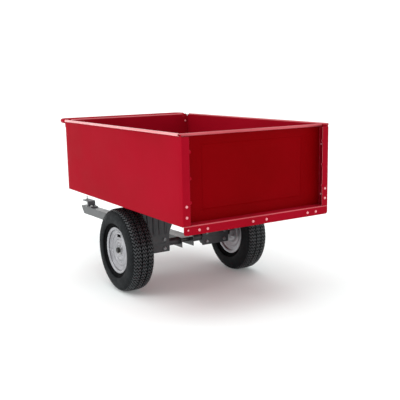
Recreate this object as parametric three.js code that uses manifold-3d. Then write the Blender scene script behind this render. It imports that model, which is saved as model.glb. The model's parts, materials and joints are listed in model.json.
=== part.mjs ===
// Tow-behind dump cart for a lawn tractor.
// Units are millimetres, +X points to the hitch, +Y to the cart's left, +Z up, and the ground is Z = 0.
// The steel bed tips on the axle, the tailgate lifts out of its guides, and the tongue carries the axle.

import * as THREE from 'three';
import { mergeVertices } from 'three/addons/utils/BufferGeometryUtils.js';
import Module from 'manifold-3d';

const wasm = await Module();
wasm.setup();

// ---------------------------------------------------------------- driving dimensions

const GAP = 0.3;                 // clearance left between touching pieces

const BED_LENGTH = 1219;         // 48 in bed, outside faces of the front and rear flanges
const BED_WIDTH = 762;           // 30 in bed, outside faces of the side panels
const BED_BOTTOM = 430;          // underside of the side panels above the ground
const BED_HEIGHT = 374;          // side panel bottom to the top of the rolled rim
const REAR_FLANGE_DROP = 35;     // floor flange below the side panels at the rear
const SHEET = 1.6;               // bed sheet thickness
const RIM_ROLL = 12;             // diameter of the rolled rim
const POST_WIDTH = 35;           // side panel's rear flange, the post beside the tailgate
const TAILGATE_SETBACK = 45;     // tailgate sheet forward of the posts' outer face
const TAILGATE_HEIGHT = 366;
const PRESSING_HALF = 262;       // half width of the tailgate's pressed panel
const PRESSING_RISE = 3;         // how far the pressing stands behind the sheet

const WHEEL_RADIUS = 202;        // 16 x 4.80 - 8 tyre
const TYRE_HALF = 64;            // half the tyre's width
const WHEEL_Y = 326;             // wheel centre plane
const RIM_RADIUS = 113;          // outer edge of the rim flange
const AXLE_X = 38;               // axle forward of the middle of the bed
const AXLE_RADIUS = 12.7;        // 1 in axle
const HUB_RADIUS = 26;

const TONGUE_FRONT = 1322;
const TONGUE_REAR = -2;
const TONGUE_TOP = 222.5;        // height of the tongue's top face at X = 0
const TONGUE_SLOPE = 1.47;       // degrees down towards the hitch
const TONGUE_DEPTH = 50;
const TONGUE_HALF_REAR = 35;     // half width at the axle
const TONGUE_HALF_FRONT = 25;    // half width at the hitch
const TONGUE_WALL = 3;

const BOLT_HEAD = 4.1;           // dome-headed bolts stand this far behind the posts

const HALF_L = BED_LENGTH / 2;
const HALF_W = BED_WIDTH / 2;
const BED_TOP = BED_BOTTOM + BED_HEIGHT;
const AXLE = { x: AXLE_X, z: WHEEL_RADIUS };

// Everything is drawn about the middle of the bed, then moved back by half the cart's overhang,
// so that X = 0 is half-way between the rear bolts and the nose of the tongue.
const CART_FRONT = TONGUE_FRONT * Math.cos(THREE.MathUtils.degToRad(TONGUE_SLOPE));
const FRAME_SHIFT = -(CART_FRONT - HALF_L - BOLT_HEAD) / 2;

// ---------------------------------------------------------------- materials

function material(color, roughness, metalness) {
  return new THREE.MeshStandardMaterial({ color, roughness, metalness });
}

const RED_PAINT = material('#b3202f', 0.42, 0.15);
const BLACK_PAINT = material('#2b2c2f', 0.5, 0.25);
const GREY_PAINT = material('#55575b', 0.45, 0.3);
const TYRE_RUBBER = material('#26282b', 0.9, 0);
const RIM_PAINT = material('#aeabb2', 0.38, 0.55);
const ZINC = material('#b9bcc0', 0.32, 0.9);
const STEEL = material('#8d9094', 0.35, 0.9);
const SOFT_RUBBER = material('#1d1e20', 0.85, 0);

// ---------------------------------------------------------------- solid helpers

// A closed three.js geometry as a manifold solid.
function solid(geometry) {
  const g = geometry.clone();
  g.deleteAttribute('normal');
  g.deleteAttribute('uv');
  const merged = mergeVertices(g, 1e-4);
  return new wasm.Manifold(new wasm.Mesh({
    numProp: 3,
    vertProperties: new Float32Array(merged.attributes.position.array),
    triVerts: new Uint32Array(merged.index.array),
  }));
}

// A manifold solid back as a three.js geometry.
function geometryOf(body) {
  const mesh = body.getMesh();
  const g = new THREE.BufferGeometry();
  const positions = [];
  for (let i = 0; i < mesh.vertProperties.length; i += mesh.numProp) {
    positions.push(...mesh.vertProperties.slice(i, i + 3));
  }
  g.setAttribute('position', new THREE.Float32BufferAttribute(positions, 3));
  g.setIndex(Array.from(mesh.triVerts));
  g.computeVertexNormals();
  return g;
}

function union(...bodies) {
  return bodies.reduce((sum, body) => sum.add(body));
}

function cut(body, ...tools) {
  return tools.reduce((rest, tool) => rest.subtract(tool), body);
}

// Turns a local XY outline with depth Z so that its depth runs along the named axis.
function layAlong(geometry, axis, from, to) {
  const x = new THREE.Vector3(1, 0, 0);
  const y = new THREE.Vector3(0, 1, 0);
  const z = new THREE.Vector3(0, 0, 1);
  const turn = new THREE.Matrix4();
  if (axis === 'x') {
    turn.makeBasis(y, z, x).setPosition(from, 0, 0);
  } else if (axis === 'y') {
    turn.makeBasis(x, z, y.clone().negate()).setPosition(0, to, 0);
  } else {
    turn.makeTranslation(0, 0, from);
  }
  return geometry.applyMatrix4(turn);
}

// A prism of a shape: (y, z) outline for 'x', (x, z) for 'y' and (x, y) for 'z'.
function prism(shape, axis, from, to, curveSegments = 4) {
  const options = { depth: to - from, bevelEnabled: false, curveSegments };
  return solid(layAlong(new THREE.ExtrudeGeometry(shape, options), axis, from, to));
}

function outline(points) {
  return new THREE.Shape(points.map(([a, b]) => new THREE.Vector2(a, b)));
}

function box(x, y, z) {
  const g = new THREE.BoxGeometry(x[1] - x[0], y[1] - y[0], z[1] - z[0]);
  g.translate((x[0] + x[1]) / 2, (y[0] + y[1]) / 2, (z[0] + z[1]) / 2);
  return solid(g);
}

// A round bar along an axis; the centre is given in the two other axes.
function bar(axis, radius, centre, from, to, sides = 12) {
  const shape = new THREE.Shape();
  shape.absarc(centre[0], centre[1], radius, 0, Math.PI * 2);
  return prism(shape, axis, from, to, sides / 2);
}

// A solid of revolution about the axle line, from (distance along Y, radius) points.
function turned(profile, segments = 24) {
  const points = profile.map(([along, radius]) => new THREE.Vector2(radius, along));
  if (THREE.ShapeUtils.isClockWise(points)) points.reverse();
  const g = new THREE.LatheGeometry([...points, points[0]], segments);
  return solid(g.translate(AXLE.x, 0, AXLE.z));
}

// A rectangle with rounded corners.
function roundedBox(a0, a1, b0, b1, r) {
  const shape = new THREE.Shape();
  shape.moveTo(a0 + r, b0);
  shape.lineTo(a1 - r, b0);
  shape.absarc(a1 - r, b0 + r, r, -Math.PI / 2, 0);
  shape.lineTo(a1, b1 - r);
  shape.absarc(a1 - r, b1 - r, r, 0, Math.PI / 2);
  shape.lineTo(a0 + r, b1);
  shape.absarc(a0 + r, b1 - r, r, Math.PI / 2, Math.PI);
  shape.lineTo(a0, b0 + r);
  shape.absarc(a0 + r, b0 + r, r, Math.PI, Math.PI * 1.5);
  return shape;
}

// A hexagon bolt along an axis, with its head at the low end and a nut at the high end.
function hexBolt(axis, radius, across, centre, from, to, head) {
  const hex = new THREE.Shape();
  for (let i = 0; i < 6; i += 1) {
    const a = (i * Math.PI) / 3;
    const r = across / Math.sqrt(3);
    const point = [centre[0] + r * Math.cos(a), centre[1] + r * Math.sin(a)];
    if (i === 0) hex.moveTo(...point);
    else hex.lineTo(...point);
  }
  return union(
    bar(axis, radius, centre, from, to),
    prism(hex, axis, from, from + head),
    prism(hex, axis, to - head - 3, to - 3),
  );
}

// A dome-headed bolt along X, head to the rear.
function domeBolt(centre, face, depth) {
  const profile = [[0, 0], [6.5, 0], [6.5, 0.8], [5.2, 2.4], [3, 3.4], [0, BOLT_HEAD - 0.3]];
  const points = profile.map(([r, h]) => new THREE.Vector2(r, h));
  const head = new THREE.LatheGeometry(points, 12);
  head.rotateZ(Math.PI / 2);
  head.translate(face, centre[0], centre[1]);
  return union(solid(head), bar('x', 3.6, centre, face - 0.2, face + depth, 8));
}

// The same solid on the other side of the cart.
function mirrored(geometry) {
  const g = geometry.clone().scale(1, -1, 1);
  const index = g.index.array;
  for (let i = 0; i < index.length; i += 3) {
    const swap = index[i];
    index[i] = index[i + 1];
    index[i + 1] = swap;
  }
  g.computeVertexNormals();
  return g;
}

const cart = new THREE.Group();
cart.name = 'tow_behind_cart';

function place(name, geometry, paint) {
  const mesh = new THREE.Mesh(geometry.translate(FRAME_SHIFT, 0, 0), paint);
  mesh.name = name;
  cart.add(mesh);
}

function add(name, body, paint) {
  place(name, geometryOf(body), paint);
}

// Builds a left-hand piece and its mirror image on the right.
function addPair(name, body, paint) {
  const left = geometryOf(body);
  place(`right_${name}`, mirrored(left), paint);
  place(`left_${name}`, left, paint);
}

// ---------------------------------------------------------------- bed

// A rolled rim: the sheet's top edge curls outwards through three quarters of a turn.
// The outline is drawn for a sheet whose outer face is at a = 0, and the curl lies at a > 0.
function rimRoll(face, side, top) {
  const outer = RIM_ROLL / 2;
  const inner = outer - SHEET;
  const points = [];
  const steps = 8;
  const first = Math.PI;
  const last = -Math.PI * 0.62;
  for (let i = 0; i <= steps; i += 1) {
    const a = first + ((last - first) * i) / steps;
    points.push([outer - SHEET + outer * Math.cos(a), outer * Math.sin(a)]);
  }
  for (let i = steps; i >= 0; i -= 1) {
    const a = first + ((last - first) * i) / steps;
    points.push([outer - SHEET + inner * Math.cos(a), inner * Math.sin(a)]);
  }
  return outline(points.map(([a, b]) => [face + side * a, top - outer + b]));
}

const FRONT_FLANGE = 30;         // side panel's front flange
const FLOOR_LOW = BED_BOTTOM + SHEET + GAP;
const FLOOR_TOP = FLOOR_LOW + SHEET;
const POST_TOP = BED_TOP - 15;

// Plan of the side panel: post, long wall and front flange bent from one sheet.
function sidePanelPlan() {
  const out = HALF_W;
  const inn = HALF_W - SHEET;
  const r = 4;
  const plan = new THREE.Shape();
  plan.moveTo(-HALF_L, out - POST_WIDTH);
  plan.lineTo(-HALF_L + SHEET, out - POST_WIDTH);
  plan.lineTo(-HALF_L + SHEET, inn - (r - SHEET));
  plan.absarc(-HALF_L + r, inn - (r - SHEET), r - SHEET, Math.PI, Math.PI / 2, true);
  plan.lineTo(HALF_L - r, inn);
  plan.absarc(HALF_L - r, out - r, r - SHEET, Math.PI / 2, 0, true);
  plan.lineTo(HALF_L - SHEET, out - FRONT_FLANGE);
  plan.lineTo(HALF_L, out - FRONT_FLANGE);
  plan.lineTo(HALF_L, out - r);
  plan.absarc(HALF_L - r, out - r, r, 0, Math.PI / 2);
  plan.lineTo(-HALF_L + r, out);
  plan.absarc(-HALF_L + r, out - r, r, Math.PI / 2, Math.PI);
  return plan;
}

function sidePanel() {
  const rollCentre = BED_TOP - RIM_ROLL / 2;
  const walls = prism(sidePanelPlan(), 'z', BED_BOTTOM, POST_TOP, 4);
  const wallTop = box([-HALF_L + 4, HALF_L - 4], [HALF_W - SHEET, HALF_W], [POST_TOP - 1, rollCentre]);
  const roll = prism(rimRoll(HALF_W, 1, BED_TOP), 'x', -HALF_L + 2, HALF_L);
  const lip = box([-HALF_L + 40, HALF_L - 4], [HALF_W - 24, HALF_W - 1], [BED_BOTTOM, BED_BOTTOM + SHEET]);
  // The post stands on the floor's rear flange, so its foot is cut level with the floor.
  const foot = box([-HALF_L - 1, -HALF_L + 8], [0, HALF_W - SHEET], [BED_BOTTOM - 1, FLOOR_TOP + GAP]);
  // A chamfer at the head of the bend.
  const slope = outline([
    [HALF_W - 3, POST_TOP + 1],
    [HALF_W + 1, POST_TOP + 1],
    [HALF_W + 1, POST_TOP - 24],
    [HALF_W, POST_TOP - 24],
  ]);
  const chamfer = prism(slope, 'x', -HALF_L - 1, -HALF_L + 4);
  // Three half-round ears on the post's inner edge.
  const ears = [0.2, 0.48, 0.74].map((part) => bar(
    'x', 7, [HALF_W - POST_WIDTH + 1, BED_TOP - BED_HEIGHT * part], -HALF_L, -HALF_L + SHEET,
  ));
  const panel = cut(union(walls, wallTop, roll, lip, ...ears), foot, chamfer);
  const boltHoles = postBoltHeights.map((z) => bar('x', 4, [postBoltY, z], -HALF_L - 1, -HALF_L + 4, 8));
  const handleHoles = handleBoltHeights.map((z) => bar('x', 4, [HANDLE_Y, z], HALF_L - 4, HALF_L + 1, 8));
  return cut(panel, ...boltHoles, ...handleHoles);
}

const postBoltY = HALF_W - 18;
const postBoltHeights = [BED_BOTTOM + 38, BED_BOTTOM + 82];
const HANDLE_Y = HALF_W - 14;
const handleBoltHeights = [BED_TOP - 38, BED_TOP - 24];

function bedFloor() {
  const halfWidth = HALF_W - SHEET - GAP;
  const r = 4;
  const back = -HALF_L;
  // Side view: flat floor with a bent-down flange behind it.
  const side = new THREE.Shape();
  side.moveTo(HALF_L - SHEET - GAP * 2 - SHEET, FLOOR_LOW);
  side.lineTo(HALF_L - SHEET - GAP * 2 - SHEET, FLOOR_TOP);
  side.lineTo(back + r, FLOOR_TOP);
  side.absarc(back + r, FLOOR_TOP - r, r, Math.PI / 2, Math.PI);
  side.lineTo(back, BED_BOTTOM - REAR_FLANGE_DROP);
  side.lineTo(back + SHEET, BED_BOTTOM - REAR_FLANGE_DROP);
  side.lineTo(back + SHEET, FLOOR_TOP - r);
  side.absarc(back + r, FLOOR_TOP - r, r - SHEET, Math.PI, Math.PI / 2, true);
  const sheet = prism(side, 'y', -halfWidth, halfWidth);
  const ribs = [-280, -140, 0, 140, 280].map((y) => {
    const raised = box([-500, 500], [y - 16, y + 16], [FLOOR_LOW, FLOOR_TOP + 4]);
    return { raised, hollow: box([-498, 498], [y - 14, y + 14], [FLOOR_LOW - 1, FLOOR_LOW + 4]) };
  });
  return cut(union(sheet, ...ribs.map((rib) => rib.raised)), ...ribs.map((rib) => rib.hollow));
}

function frontPanel() {
  const x1 = HALF_L - SHEET - GAP;
  const x0 = x1 - SHEET;
  const half = HALF_W - SHEET - 1.5;
  const rollCentre = BED_TOP - RIM_ROLL / 2;
  const wall = box([x0, x1], [-half, half], [FLOOR_LOW, BED_TOP - 16]);
  const inner = HALF_W - FRONT_FLANGE - 2;
  const neck = box([x0, x1], [-inner, inner], [BED_TOP - 17, rollCentre]);
  const roll = prism(rimRoll(x1, 1, BED_TOP), 'y', -inner, inner);
  const lip = box([x0 - 24, x1], [-half + 30, half - 30], [FLOOR_TOP + GAP, FLOOR_TOP + GAP + SHEET]);
  return cut(union(wall, neck, roll, lip), box([x0 - 40, x0], [-HALF_W, HALF_W], [0, FLOOR_TOP + GAP]));
}

// A vertical channel on the side panel's inner face in which the tailgate slides.
const GATE_X = -HALF_L + TAILGATE_SETBACK;
const GUIDE_LOW = FLOOR_TOP + GAP;
const GUIDE_TOP = BED_TOP - 22;

function tailgateGuide() {
  const wallY = HALF_W - SHEET - GAP;
  const channel = outline([
    [GATE_X - 10, wallY - 20],
    [GATE_X - 8, wallY - 20],
    [GATE_X - 8, wallY - SHEET],
    [GATE_X + 8, wallY - SHEET],
    [GATE_X + 8, wallY - 20],
    [GATE_X + 10, wallY - 20],
    [GATE_X + 10, wallY],
    [GATE_X - 10, wallY],
  ]);
  return prism(channel, 'z', GUIDE_LOW, GUIDE_TOP);
}

function tailgate() {
  const half = HALF_W - SHEET * 2 - GAP * 2 - 0.7;
  const low = FLOOR_TOP + GAP;
  const top = low + TAILGATE_HEIGHT;
  // Plan: a sheet with both side edges bent back to run in the guides.
  const plan = outline([
    [GATE_X + 5, -half],
    [GATE_X + 5, half],
    [GATE_X - 7, half],
    [GATE_X - 7, half - SHEET],
    [GATE_X + 5 - SHEET, half - SHEET],
    [GATE_X + 5 - SHEET, -half + SHEET],
    [GATE_X - 7, -half + SHEET],
    [GATE_X - 7, -half],
  ]);
  const sheet = prism(plan, 'z', low, GUIDE_TOP - 2);
  const upper = box([GATE_X + 5 - SHEET, GATE_X + 5], [-half, half], [GUIDE_TOP - 3, top - RIM_ROLL / 2]);
  const roll = prism(rimRoll(GATE_X + 5 - SHEET, -1, top), 'y', -half, half);
  const hem = box([GATE_X - 6, GATE_X + 4], [-half + 24, half - 24], [low, low + SHEET]);
  // A shallow pressing raised to the rear over most of the sheet.
  const back = GATE_X + 5 - SHEET;
  const raised = box([back - PRESSING_RISE, back], [-PRESSING_HALF, PRESSING_HALF], [low + 50, top - 50]);
  const behind = box(
    [back - PRESSING_RISE + SHEET, back + SHEET],
    [-PRESSING_HALF + SHEET, PRESSING_HALF - SHEET],
    [low + 50 + SHEET, top - 50 - SHEET],
  );
  return cut(union(sheet, upper, roll, hem, raised), behind);
}

// Grab handle across the front of the bed: a fat tube on two thin arms with bolted feet.
function grabHandle() {
  const z = BED_TOP - 10;
  const barX = HALF_L + 93;
  const legX = HALF_L + 34;
  const radius = 12;
  const bend = 26;
  const y = HANDLE_Y;
  const tubeSection = new THREE.Shape();
  tubeSection.absarc(0, 0, radius, 0, Math.PI * 2);
  const parts = [bar('y', radius, [barX, z], -y + bend, y - bend, 16)];
  for (const side of [-1, 1]) {
    const p = (a, b) => new THREE.Vector3(a, side * b, z);
    const elbow = new THREE.CurvePath();
    elbow.add(new THREE.QuadraticBezierCurve3(p(barX - bend, y), p(barX, y), p(barX, y - bend)));
    const options = { steps: 5, curveSegments: 8, bevelEnabled: false, extrudePath: elbow };
    parts.push(solid(new THREE.ExtrudeGeometry(tubeSection, options)));
    parts.push(bar('x', radius, [side * y, z], legX, barX - bend, 16));
    parts.push(bar('x', 6, [side * y, z], HALF_L + 2, legX + 2));
    const footWidth = [side * y - 13, side * y + 13];
    const foot = box([HALF_L + GAP, HALF_L + 3.3], footWidth, [BED_TOP - 48, BED_TOP - 2]);
    const holes = handleBoltHeights.map((h) => bar('x', 4, [side * y, h], HALF_L - 4, HALF_L + 9, 8));
    parts.push(cut(foot, ...holes));
  }
  return union(...parts);
}

add('bed_floor', bedFloor(), RED_PAINT);
addPair('side_panel', sidePanel(), RED_PAINT);
add('front_panel', frontPanel(), RED_PAINT);
add('front_grab_handle', grabHandle(), RED_PAINT);
addPair('tailgate_guide', tailgateGuide(), RED_PAINT);
add('tailgate', tailgate(), RED_PAINT);

postBoltHeights.forEach((z, i) => {
  addPair(`post_bolt_${i + 1}`, domeBolt([postBoltY, z], -HALF_L - 0.3, 8), RED_PAINT);
});

// ---------------------------------------------------------------- axle brackets under the bed

const PLATE_X = AXLE.x - 25;     // rear face of the bracket plate
const PLATE_T = 3;
const BOLT_Y = [125, 232];
const BOLT_OFFSET = 23;          // bolts above and below the axle
const SPLIT_Z = AXLE.z + 4;      // joint between bracket and clamp plate

function bracketHoles(z) {
  return BOLT_Y.map((y) => bar('x', 5.3, [y, z], PLATE_X - 8, AXLE.x + 30));
}

// Pressed plate that flares from the axle up to the bed floor, with upright ribs and a top flange.
function axleBracket() {
  const top = BED_BOTTOM + SHEET - 0.3;
  const face = outline([
    [98, SPLIT_Z + 1],
    [258, SPLIT_Z + 1],
    [258, SPLIT_Z + 40],
    [250, SPLIT_Z + 62],
    [250, top],
    [34, top],
    [70, 320],
    [98, 256],
  ]);
  const plate = prism(face, 'x', PLATE_X, PLATE_X + PLATE_T);
  const flange = box([PLATE_X, PLATE_X + 36], [34, 250], [top - PLATE_T, top]);
  const ribs = [118, 150, 182, 214, 240].map((y) => {
    const rib = outline([
      [PLATE_X - 5, 262],
      [PLATE_X - 5, top - 14],
      [PLATE_X + 1, top - 4],
      [PLATE_X + 1, 252],
    ]);
    return prism(rib, 'y', y - 6, y + 6);
  });
  // Folded stiffening edge beside the tongue.
  const fold = outline([
    [98, SPLIT_Z + 1],
    [98, 256],
    [70, 320],
    [34, top],
    [37.4, top],
    [73, 320.6],
    [101, 257],
    [101, SPLIT_Z + 1],
  ]);
  const edge = prism(fold, 'x', PLATE_X, PLATE_X + 16);
  const body = union(plate, flange, edge, ...ribs);
  const keepOut = box([PLATE_X + PLATE_T, PLATE_X + 60], [90, 262], [100, AXLE.z + 36 + GAP]);
  return cut(body, keepOut, ...bracketHoles(AXLE.z + BOLT_OFFSET));
}

function clampPlate() {
  const face = roundedBox(96, 258, 162, SPLIT_Z, 5);
  return cut(prism(face, 'x', PLATE_X, PLATE_X + PLATE_T), ...bracketHoles(AXLE.z - BOLT_OFFSET));
}

// The housing that turns on the axle: flat behind, round in front.
function bearingBlock() {
  const back = PLATE_X + PLATE_T + GAP;
  const shape = new THREE.Shape();
  shape.moveTo(back, AXLE.z - 36);
  shape.lineTo(AXLE.x, AXLE.z - 36);
  shape.absarc(AXLE.x + 2, AXLE.z - 16, 20, -Math.PI / 2, 0);
  shape.lineTo(AXLE.x + 22, AXLE.z + 16);
  shape.absarc(AXLE.x + 2, AXLE.z + 16, 20, 0, Math.PI / 2);
  shape.lineTo(back, AXLE.z + 36);
  const block = prism(shape, 'y', 106, 252);
  const bore = bar('y', AXLE_RADIUS + GAP, [AXLE.x, AXLE.z], 90, 270, 24);
  const waist = box([AXLE.x + 14, AXLE.x + 30], [142, 215], [AXLE.z - 40, AXLE.z + 40]);
  const upperHoles = bracketHoles(AXLE.z + BOLT_OFFSET);
  const lowerHoles = bracketHoles(AXLE.z - BOLT_OFFSET);
  return cut(block, bore, waist, ...upperHoles, ...lowerHoles);
}

addPair('axle_bracket', axleBracket(), BLACK_PAINT);
addPair('axle_clamp_plate', clampPlate(), BLACK_PAINT);
addPair('axle_bearing_block', bearingBlock(), BLACK_PAINT);

const boltNames = ['inner', 'outer'];
BOLT_Y.forEach((y, i) => {
  [['upper', BOLT_OFFSET], ['lower', -BOLT_OFFSET]].forEach(([level, offset]) => {
    const bolt = hexBolt('x', 5, 17, [y, AXLE.z + offset], PLATE_X - 6.8, AXLE.x + 32, 6.5);
    addPair(`bracket_bolt_${boltNames[i]}_${level}`, bolt, ZINC);
  });
});

// ---------------------------------------------------------------- tongue and axle

// The tongue is drawn level with its top face at z = 0, then tilted down to the hitch.
const tongueTilt = new THREE.Matrix4()
  .makeTranslation(0, 0, TONGUE_TOP)
  .multiply(new THREE.Matrix4().makeRotationY(THREE.MathUtils.degToRad(TONGUE_SLOPE)));

function tilted(body) {
  return solid(geometryOf(body).applyMatrix4(tongueTilt));
}

function tonguePlan(inset, rear, front) {
  const wide = TONGUE_HALF_REAR - inset;
  const narrow = TONGUE_HALF_FRONT - inset;
  return outline([
    [rear, -wide],
    [680, -wide],
    [1150, -narrow],
    [front, -narrow],
    [front, narrow],
    [1150, narrow],
    [680, wide],
    [rear, wide],
  ]);
}

const HITCH_X = 1277;            // hitch pin
const STRAP_X = 1208;            // riser of the hitch strap

function tongue() {
  const outer = prism(tonguePlan(0, TONGUE_REAR, TONGUE_FRONT), 'z', -TONGUE_DEPTH, 0);
  const inside = tonguePlan(TONGUE_WALL, TONGUE_REAR - 5, TONGUE_FRONT + 5);
  const hollow = prism(inside, 'z', -TONGUE_DEPTH - 5, -TONGUE_WALL);
  // The flanges are cut back on a slant at the hitch.
  const slant = outline([
    [TONGUE_FRONT + 2, -TONGUE_WALL],
    [TONGUE_FRONT + 2, -TONGUE_DEPTH - 2],
    [TONGUE_FRONT - 38, -TONGUE_DEPTH - 2],
  ]);
  const nose = prism(slant, 'y', -60, 60);
  const pinHole = bar('z', 7.2, [HITCH_X, 0], -20, 20, 16);
  const strapHoles = [-13, 13].map((y) => bar('z', 4.4, [STRAP_X - 26, y], -20, 20, 8));
  const level = cut(outer, hollow, nose, pinHole, ...strapHoles);
  const axleHole = bar('y', AXLE_RADIUS + GAP, [AXLE.x, AXLE.z], -60, 60, 24);
  const standHoles = standBolts.map(([x, z]) => bar('y', 5.3, [x, z], -60, 60));
  return cut(tilted(level), axleHole, ...standHoles);
}

// Upright that carries the front of the bed.
const STAND_X = [508, 602];
const standBolts = [[530, 188], [590, 186]];
const STAND_TOP = BED_BOTTOM - 26;
const STRIKER = { x: 590, z: 385 };

function supportStand() {
  const outY = TONGUE_HALF_REAR + GAP + 3;
  const inY = TONGUE_HALF_REAR + GAP;
  const face = outline([
    [STAND_X[0] - 12, 166],
    [STAND_X[1] + 10, 166],
    [STAND_X[1] + 10, 214],
    [STAND_X[1], 300],
    [STAND_X[1], STAND_TOP],
    [STAND_X[0], STAND_TOP],
    [STAND_X[0], 300],
    [STAND_X[0] - 12, 214],
  ]);
  const hollow = box([400, 700], [-inY, inY], [100, STAND_TOP - 3]);
  // A back web joins the two cheeks above the tongue.
  const web = box([STAND_X[0], STAND_X[0] + 3], [-outY, outY], [216, STAND_TOP]);
  // A notch in the top lets the latch hook swing down to the striker.
  const notch = box([STAND_X[1] - 36, STAND_X[1] + 1], [-10, 10], [STAND_TOP - 4, STAND_TOP + 1]);
  const shell = union(cut(prism(face, 'y', -outY, outY), hollow), web);
  const holes = standBolts.map(([x, z]) => bar('y', 5.3, [x, z], -60, 60));
  const strikerHole = bar('y', 6.3, [STRIKER.x, STRIKER.z], -60, 60);
  return cut(shell, ...holes, strikerHole, notch);
}

// Z-shaped strap: its foot is bolted on the tongue and its upper leaf makes the clevis.
const CLEVIS_RISE = 40;
const STRAP_T = 6;

function hitchStrap() {
  const half = TONGUE_HALF_FRONT - 0.5;
  const side = outline([
    [STRAP_X - 46, GAP],
    [STRAP_X + STRAP_T, GAP],
    [STRAP_X + STRAP_T, CLEVIS_RISE - STRAP_T],
    [TONGUE_FRONT - 24, CLEVIS_RISE - STRAP_T],
    [TONGUE_FRONT - 24, CLEVIS_RISE],
    [STRAP_X + 4, CLEVIS_RISE],
    [STRAP_X, CLEVIS_RISE - 4],
    [STRAP_X, GAP + STRAP_T],
    [STRAP_X - 46, GAP + STRAP_T],
  ]);
  const strap = prism(side, 'y', -half, half);
  const pinHole = bar('z', 7.2, [HITCH_X, 0], 20, 60, 16);
  const boltHoles = [-13, 13].map((y) => bar('z', 4.4, [STRAP_X - 26, y], -5, 15, 8));
  return tilted(cut(strap, pinHole, ...boltHoles));
}

function strapBolt(y) {
  const head = 5.5;
  const low = -TONGUE_WALL - GAP - head;
  const high = GAP + STRAP_T + GAP + head + 3;
  return tilted(hexBolt('z', 4, 13, [STRAP_X - 26, y], low, high, head));
}

// Drop pin with a ring to lift it by.
function hitchPin() {
  const shank = bar('z', 6.4, [HITCH_X, 0], -44, CLEVIS_RISE + 7, 16);
  const collar = bar('z', 10, [HITCH_X, 0], CLEVIS_RISE + GAP, CLEVIS_RISE + 5, 16);
  const tip = new THREE.ConeGeometry(6.4, 6, 16).rotateX(-Math.PI / 2).translate(HITCH_X, 0, -47);
  const ring = new THREE.TorusGeometry(9, 2.4, 6, 20).rotateX(Math.PI / 2);
  ring.translate(HITCH_X, 0, CLEVIS_RISE + 15);
  return tilted(union(shank, collar, solid(tip), solid(ring)));
}

add('tongue', tongue(), GREY_PAINT);
add('bed_support_stand', supportStand(), BLACK_PAINT);
standBolts.forEach(([x, z], i) => {
  add(`stand_bolt_${i + 1}`, hexBolt('y', 5, 17, [x, z], -45.2, 48.2, 6.5), ZINC);
});
add('latch_striker', bar('y', 6, [STRIKER.x, STRIKER.z], -44, 44), STEEL);
const padShape = roundedBox(516, 562, -30, 30, 6);
add('bed_rest_pad', prism(padShape, 'z', STAND_TOP + GAP, FLOOR_LOW - GAP), SOFT_RUBBER);
add('hitch_strap', hitchStrap(), BLACK_PAINT);
add('hitch_strap_bolt_left', strapBolt(13), ZINC);
add('hitch_strap_bolt_right', strapBolt(-13), ZINC);
add('hitch_pin', hitchPin(), ZINC);

// Axle with a cross hole for the cotter pin near each end.
const AXLE_END = 374;
const COTTER_Y = 367;

function axle() {
  const r = AXLE_RADIUS;
  const profile = [
    [-AXLE_END, 0], [-AXLE_END, r - 2], [-AXLE_END + 2, r],
    [AXLE_END - 2, r], [AXLE_END, r - 2], [AXLE_END, 0],
  ];
  const points = profile.map(([along, radius]) => new THREE.Vector2(radius, along));
  const shaft = solid(new THREE.LatheGeometry(points, 24).translate(AXLE.x, 0, AXLE.z));
  const holes = [-COTTER_Y, COTTER_Y].map((y) => bar('z', 2.6, [AXLE.x, y], AXLE.z - 20, AXLE.z + 20, 8));
  return cut(shaft, ...holes);
}

function ringOnAxle(inner, outer, from, to) {
  return turned([[from, inner], [from, outer], [to, outer], [to, inner]]);
}

add('axle_shaft', axle(), STEEL);
addPair('axle_spacer', ringOnAxle(AXLE_RADIUS + GAP, 19, TONGUE_HALF_REAR + GAP, 98 - GAP), BLACK_PAINT);
addPair('axle_washer', ringOnAxle(AXLE_RADIUS + GAP, 20, 358.4, 361), ZINC);

// Cotter pin: straight legs through the axle and a round eye on top.
function cotterPin() {
  const legs = bar('z', 2.2, [AXLE.x, COTTER_Y], AXLE.z - 19, AXLE.z + 17, 8);
  const eye = new THREE.TorusGeometry(3.4, 1.8, 6, 12).rotateY(Math.PI / 2);
  eye.translate(AXLE.x, COTTER_Y, AXLE.z + 18.5);
  return union(legs, solid(eye));
}
addPair('cotter_pin', cotterPin(), ZINC);

// ---------------------------------------------------------------- wheels

// Outside of half the tyre section, bead to tread, as (distance from the wheel plane, radius).
const tyreOutside = [
  [TYRE_HALF - 20.6, 102.6],
  [TYRE_HALF - 18.6, 113.6],
  [TYRE_HALF - 10, 117],
  [TYRE_HALF - 2, 132],
  [TYRE_HALF, 152],
  [TYRE_HALF - 3, 174],
  [TYRE_HALF - 12, 190],
  [TYRE_HALF - 22, WHEEL_RADIUS - 4],
  [TYRE_HALF - 42, WHEEL_RADIUS - 0.5],
  [TYRE_HALF - 45, WHEEL_RADIUS - 7],
  [TYRE_HALF - 49, WHEEL_RADIUS - 7],
  [TYRE_HALF - 52, WHEEL_RADIUS],
];

// Inside of half the carcass, tread to bead.
const tyreInside = [
  [0, 185],
  [TYRE_HALF - 26, 182],
  [TYRE_HALF - 13, 170],
  [TYRE_HALF - 9, 150],
  [TYRE_HALF - 12, 132],
  [TYRE_HALF - 20, 123],
  [TYRE_HALF - 30, 113],
  [TYRE_HALF - 30, 102.6],
];

function tyre() {
  const outer = tyreOutside.map(([y, r]) => [WHEEL_Y + y, r]);
  const inner = tyreOutside.map(([y, r]) => [WHEEL_Y - y, r]).reverse();
  const carcassIn = tyreInside.map(([y, r]) => [WHEEL_Y - y, r]).reverse();
  const carcassOut = tyreInside.slice(1).map(([y, r]) => [WHEEL_Y + y, r]);
  return turned([...outer, ...inner, ...carcassIn, ...carcassOut], 40);
}

// Pressed steel rim: barrel with two flanges, and a dished disc on each face. The outer one has a hand hole.
const VALVE_RADIUS = 68;

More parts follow.
